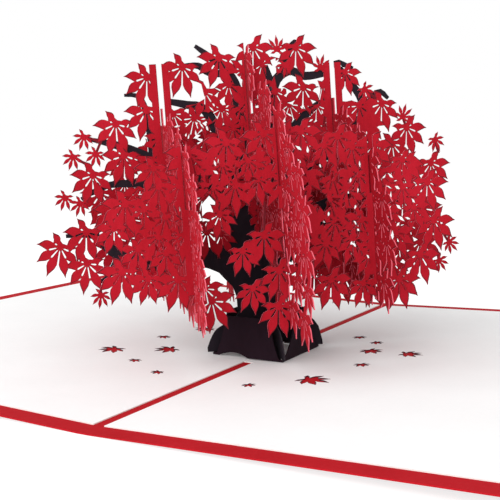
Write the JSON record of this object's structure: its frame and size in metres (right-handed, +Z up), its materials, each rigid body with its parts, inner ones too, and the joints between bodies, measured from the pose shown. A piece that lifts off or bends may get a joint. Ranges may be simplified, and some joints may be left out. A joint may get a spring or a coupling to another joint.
{
  "type": "pop up card",
  "caption": "Open folded greeting card whose tree of slotted paper leaf sheets stands over the fold on a small root box.",
  "frame": {"origin": "under the middle of the spine, at the centre of the open card's outline", "axes": "+X across the open card to the right page, +Y along the fold to the back, +Z up from the table"},
  "size_m": [0.2538, 0.178, 0.0911],
  "materials": {
    "cover_board": "matt red card",
    "liner_paper": "matt white paper",
    "root_paper": "matt dark aubergine paper",
    "trunk_paper": "matt near black paper",
    "leaf_paper": "matt red paper"
  },
  "bodies": {
    "root": {"cover": "cover_board", "liner": "liner_paper", "root_box": "root_paper", "trunk_a": "trunk_paper", "trunk_b": "trunk_paper", "leaves_a_front": "leaf_paper", "leaves_a_mid": "leaf_paper", "leaves_a_back": "leaf_paper", "leaves_b_left": "leaf_paper", "leaves_b_mid": "leaf_paper", "leaves_b_right": "leaf_paper"}
  },
  "joints": []
}
